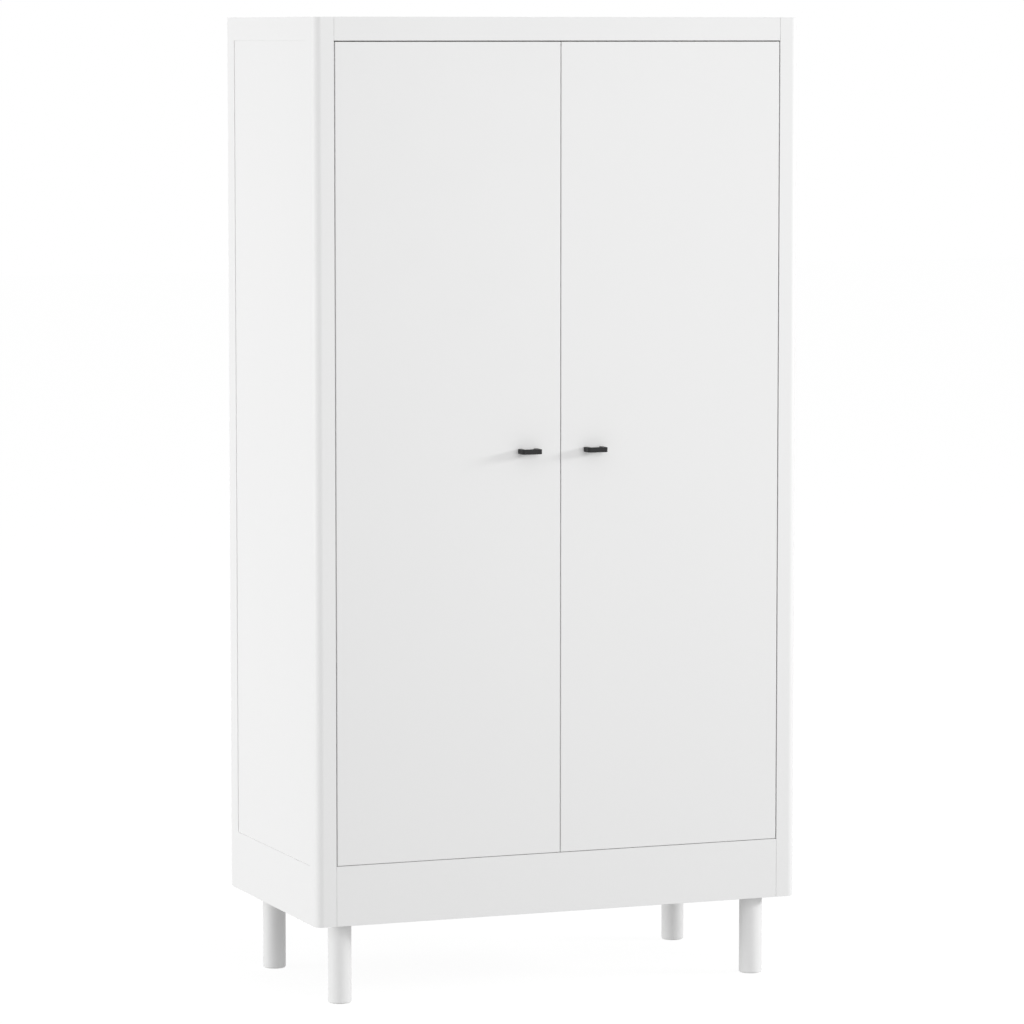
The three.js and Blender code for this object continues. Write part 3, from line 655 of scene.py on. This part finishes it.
for side in ("left", "right"):
    node = f"handle_{side}"
    low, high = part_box(node)
    left, right, front, back = low[0], high[0], low[1], high[1]
    small = BOW_CORNER / 2
    plan = [(left, back)]
    plan += quarter((left + BOW_CORNER, front + BOW_CORNER), BOW_CORNER, 2)
    plan += quarter((right - BOW_CORNER, front + BOW_CORNER), BOW_CORNER, 3)
    plan += [(right, back), (right - BOW_FOOT, back)]
    hollow = front + BOW_BAR
    plan += quarter((right - BOW_FOOT - small, hollow + small), small, 3)[::-1]
    plan += quarter((left + BOW_FOOT + small, hollow + small), small, 2)[::-1]
    plan += [(left + BOW_FOOT, back)]
    bm = bmesh.new()
    bottom, top = ([bm.verts.new((x, y, z)) for x, y in plan] for z in (low[2], high[2]))
    bm.faces.new(bottom)
    join_rings(bm, bottom, top)
    bm.faces.new(top)
    bmesh.ops.recalc_face_normals(bm, faces=bm.faces)
    handle = ease(stand(f"{node}_bow", bm), BOW_EDGE, BOW_EDGE_STEPS)
    finish_piece(handle, f"door_{side}", "black_powder_coat", powder.material, node)

# ---------------------------------------------------------------------------------------------
# Concealed hinges: pressed and nickel-plated steel. Each has an arm on its plate, screwed to the
# post, a cup let into the door, and a cranked link between them.

PRESSED_EDGE = 0.35 * MM

for side in ("left", "right"):
    for where in ("low", "middle", "high"):
        arm, cup, link = (f"hinge_{part}_{where}_{side}" for part in ("arm", "cup", "link"))
        eased_board(arm, "carcass", "nickel", nickel, PRESSED_EDGE)
        eased_board(cup, f"door_{side}", "nickel", nickel, PRESSED_EDGE)
        eased_board(link, f"hinge_links_{side}", "nickel", nickel, PRESSED_EDGE)

# ---------------------------------------------------------------------------------------------
# Screws: cross-slotted steel heads, nickel plated, and chromed on the clothes rail's sockets. They
# hold the hinge plates to the posts, the cups and handles to the doors, and the sockets to the
# side panels.

HEAD_SIDES = 20
HEAD_RINGS = 3
HEAD_SHARP_FROM = math.radians(35)
SPIN_SEED = 5
SINK = 0.2 * MM
SLOT_SHARE = 0.62
SLOT_WIDTH_SHARE = 0.16


class HeadPattern(Recipe):
    """A geometry tree that sets a slotted round head on each point, along the point's axis."""

    def __init__(self, name):
        super().__init__(bpy.data.node_groups.new(name, "GeometryNodeTree"))
        ports = self.tree.interface
        ports.new_socket("Places", in_out="INPUT", socket_type="NodeSocketGeometry")
        for size in ("Head Radius", "Head Height", "Dome Height", "Slot Depth"):
            ports.new_socket(size, in_out="INPUT", socket_type="NodeSocketFloat")
        ports.new_socket("Seed", in_out="INPUT", socket_type="NodeSocketInt")
        ports.new_socket("Finish", in_out="INPUT", socket_type="NodeSocketMaterial")
        ports.new_socket("Heads", in_out="OUTPUT", socket_type="NodeSocketGeometry")
        entry = self.tree.nodes.new("NodeGroupInput")
        port = {socket.name: Flow(self, socket) for socket in entry.outputs if socket.name}
        radius, height, dome = port["Head Radius"], port["Head Height"], port["Dome Height"]
        sizes = {"Vertices": HEAD_SIDES, "Side Segments": 1, "Fill Segments": HEAD_RINGS}
        sizes.update({"Radius": radius, "Depth": height + SINK})
        head = self.node("GeometryNodeMeshCylinder", {"fill_type": "TRIANGLE_FAN"}, sizes)
        place = self.node("GeometryNodeInputPosition")
        x, y, z = (self.node("ShaderNodeSeparateXYZ", None, {0: place}, axis) for axis in (0, 1, 2))
        bulge = (1 - (x * x + y * y) / (radius * radius)) * dome * z.over(0) + (height - SINK) * 0.5
        rise = self.node("ShaderNodeCombineXYZ", None, {2: bulge})
        head = self.node("GeometryNodeSetPosition", None, {"Geometry": head, "Offset": rise})
        top = height + dome
        long, narrow = radius * (2 * SLOT_SHARE), radius * (2 * SLOT_WIDTH_SHARE)
        lift = self.node("ShaderNodeCombineXYZ", None, {2: top})
        cut = {"Mesh 1": head}
        slots = []
        for wide, deep in ((long, narrow), (narrow, long)):
            size = {0: wide, 1: deep, 2: port["Slot Depth"] * 2}
            size = self.node("ShaderNodeCombineXYZ", None, size)
            slot = self.node("GeometryNodeMeshCube", None, {"Size": size})
            slot = {"Geometry": slot, "Translation": lift}
            slots.append(self.node("GeometryNodeTransform", None, slot))
        head = self.node("GeometryNodeMeshBoolean", {"operation": "DIFFERENCE", "solver": "EXACT"}, cut)
        boolean = head.socket.node
        for slot in slots:
            self.tree.links.new(slot.socket, boolean.inputs["Mesh 2"])
        kind = {"data_type": "FLOAT_VECTOR"}
        axis = self.node("GeometryNodeInputNamedAttribute", kind, {"Name": "axis"})
        aligned = self.node("FunctionNodeAlignRotationToVector", {"axis": "Z"}, {"Vector": axis})
        spins = {2: 0.0, 3: math.pi / 2, "Seed": port["Seed"]}
        spin = self.node("FunctionNodeRandomValue", {"data_type": "FLOAT"}, spins, 1)
        turn = self.node("FunctionNodeAxisAngleToRotation", None, {"Axis": (0, 0, 1), "Angle": spin})
        local = {"rotation_space": "LOCAL"}
        turned = self.node("FunctionNodeRotateRotation", local, {0: aligned, 1: turn})
        sown = {"Points": port["Places"], "Instance": head, "Rotation": turned}
        sown = self.node("GeometryNodeInstanceOnPoints", None, sown)
        solid = self.node("GeometryNodeRealizeInstances", None, {"Geometry": sown})
        clad = {"Geometry": solid, "Material": port["Finish"]}
        solid = self.node("GeometryNodeSetMaterial", None, clad)
        exit_port = self.tree.nodes.new("NodeGroupOutput")
        self.tree.links.new(solid.socket, exit_port.inputs["Heads"])


def set_heads(name, pattern, body, slot, material, places, **sizes):
    """Sets heads of one size at (point, axis) places on one body, as one plain piece."""
    mesh = bpy.data.meshes.new(name)
    mesh.from_pydata([point for point, _ in places], [], [])
    axes = mesh.attributes.new("axis", "FLOAT_VECTOR", "POINT")
    for entry, (_, axis) in zip(axes.data, places):
        entry.vector = axis
    made = bpy.data.objects.new(name, mesh)
    scene.collection.objects.link(made)
    heads = made.modifiers.new("heads", "NODES")
    heads.node_group = pattern.tree
    values = {"Finish": material, "Seed": SPIN_SEED}
    values.update({key.replace("_", " "): value for key, value in sizes.items()})
    for port in pattern.tree.interface.items_tree:
        if port.name in values:
            heads[port.identifier] = values[port.name]
    settle(made)
    made.data.shade_smooth()
    made.data.set_sharp_from_angle(angle=HEAD_SHARP_FROM)
    return finish_piece(made, body, slot, material)


CUP_SCREW_REACH = 24.0 * MM
PLATE_SCREW_REACH = 19.0 * MM
PLATE_FACE = 3.5 * MM
PLATE_SCREW_INSET = 9.0 * MM
SOCKET_SCREW_REACH = 20.6 * MM
HANDLE_SCREW_REACH = 16.0 * MM
SMALL_HEAD = {"Head_Radius": 3.4 * MM, "Head_Height": 0.5 * MM, "Dome_Height": 0.6 * MM,
              "Slot_Depth": 0.9 * MM}
PAN_HEAD = {"Head_Radius": 4.2 * MM, "Head_Height": 1.2 * MM, "Dome_Height": 1.0 * MM,
            "Slot_Depth": 1.4 * MM}


def spread(reach):
    """The two places of a pair of screws, either side of their middle."""
    return -reach, reach


slotted = HeadPattern("slotted_head")
post_faces = {side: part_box(f"front_post_{side}")[way][0] for side, way in (("left", 1), ("right", 0))}
door_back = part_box("door_left")[1][1]
plate_places, socket_places = [], []
for side, way in WAYS.items():
    inward, backward = (-way, 0, 0), (0, 1, 0)
    cup_places = []
    for where in ("low", "middle", "high"):
        arm, cup = f"hinge_arm_{where}_{side}", f"hinge_cup_{where}_{side}"
        x, _, z = middle_of(cup)
        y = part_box(cup)[1][1]
        cup_places += [((x, y, z + step), backward) for step in spread(CUP_SCREW_REACH)]
        x = post_faces[side] - way * PLATE_FACE
        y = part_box(arm)[1][1] - PLATE_SCREW_INSET
        plate_places += [((x, y, z + step), inward) for step in spread(PLATE_SCREW_REACH)]
    low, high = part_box(f"rail_socket_{side}")
    flange_face = (high[0] if way > 0 else low[0]) - way * (SOCKET_PLATE - SOCKET_FIT)
    _, y, z = tube_place
    socket_places += [((flange_face, y, z + step), inward) for step in spread(SOCKET_SCREW_REACH)]
    x, _, z = middle_of(f"handle_{side}")
    handle_places = [((x + step, door_back, z), backward) for step in spread(HANDLE_SCREW_REACH)]
    door = f"door_{side}"
    set_heads(f"cup_screws_{side}", slotted, door, "nickel", nickel, cup_places, **SMALL_HEAD)
    set_heads(f"handle_screws_{side}", slotted, door, "nickel", nickel, handle_places, **PAN_HEAD)
set_heads("plate_screws", slotted, "carcass", "nickel", nickel, plate_places, **SMALL_HEAD)
set_heads("socket_screws", slotted, "carcass", "chrome", chrome, socket_places, **SMALL_HEAD)

# ---------------------------------------------------------------------------------------------
# Cam fittings: zinc discs turned in their bores to pull the rails, top and floor against the side
# frames. They sit on inner and lower faces, close to each end.

CAM_INSET = 34.0 * MM
CAM_DEPTH_INSET = 130.0 * MM
CAM_UP_TOP_RAIL = 15.0 * MM
CAM_UP_LOW_RAIL = 60.0 * MM
CAM_HEAD = {"Head_Radius": 7.5 * MM, "Head_Height": 0.35 * MM, "Dome_Height": 0.0,
            "Slot_Depth": 0.3 * MM}

zinc = plated("zinc_cams", (0.56, 0.56, 0.57), 0.38, 0.05)
cam_places = []
rails = {"front_top_rail": 1, "plinth_rail": 1, "back_top_rail": -1, "back_low_rail": -1}
for node, ahead in rails.items():
    low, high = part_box(node)
    face = high[1] if ahead > 0 else low[1]
    z = low[2] + (CAM_UP_TOP_RAIL if "top" in node else CAM_UP_LOW_RAIL)
    for x in (low[0] + CAM_INSET, high[0] - CAM_INSET):
        cam_places.append(((x, face, z), (0, ahead, 0)))
for node in ("top_panel", "floor_panel"):
    low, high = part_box(node)
    for x in (low[0] + CAM_INSET, high[0] - CAM_INSET):
        for y in (low[1] + CAM_DEPTH_INSET, high[1] - CAM_DEPTH_INSET):
            cam_places.append(((x, y, low[2]), (0, 0, -1)))
set_heads("cam_discs", slotted, "carcass", "nickel", zinc, cam_places, **CAM_HEAD)

# ---------------------------------------------------------------------------------------------
# Door buffers: soft milky domes stuck to the backs of the doors, low down, where they meet the
# front edge of the floor panel.

BUFFER_RADIUS = 3.5 * MM
BUFFER_REACH = 4.0 * MM
BUFFER_INSET = 30.0 * MM
BUFFER_EDGE = 0.2 * MM
BUFFER_EDGE_STEPS = 2
BUFFER_SIDES = 32
RIM_SHARE = 0.55
DOME_STEPS = 6

rubber = moulded("buffer_rubber", (0.80, 0.80, 0.78))
floor_low, floor_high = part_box("floor_panel")
for side in ("left", "right"):
    low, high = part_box(f"door_{side}")
    z = (max(low[2], floor_low[2]) + floor_high[2]) / 2
    for spot, x in (("left", low[0] + BUFFER_INSET), ("right", high[0] - BUFFER_INSET)):
        turns = [math.pi / 2 * step / DOME_STEPS for step in range(DOME_STEPS)]
        rises = [RIM_SHARE + (1 - RIM_SHARE) * math.sin(turn) for turn in turns]
        dome = [(BUFFER_RADIUS * math.cos(turn), BUFFER_REACH * rise)
                for turn, rise in zip(turns, rises)]
        profile = [(0, 0), (BUFFER_RADIUS, 0)] + dome + [(0, BUFFER_REACH)]
        buffer = lathe(f"buffer_{spot}_{side}", profile, BUFFER_SIDES, (x, high[1], z), (0, 1, 0))
        buffer = ease(buffer, BUFFER_EDGE, BUFFER_EDGE_STEPS)
        finish_piece(buffer, f"door_{side}", "white_plastic", rubber)
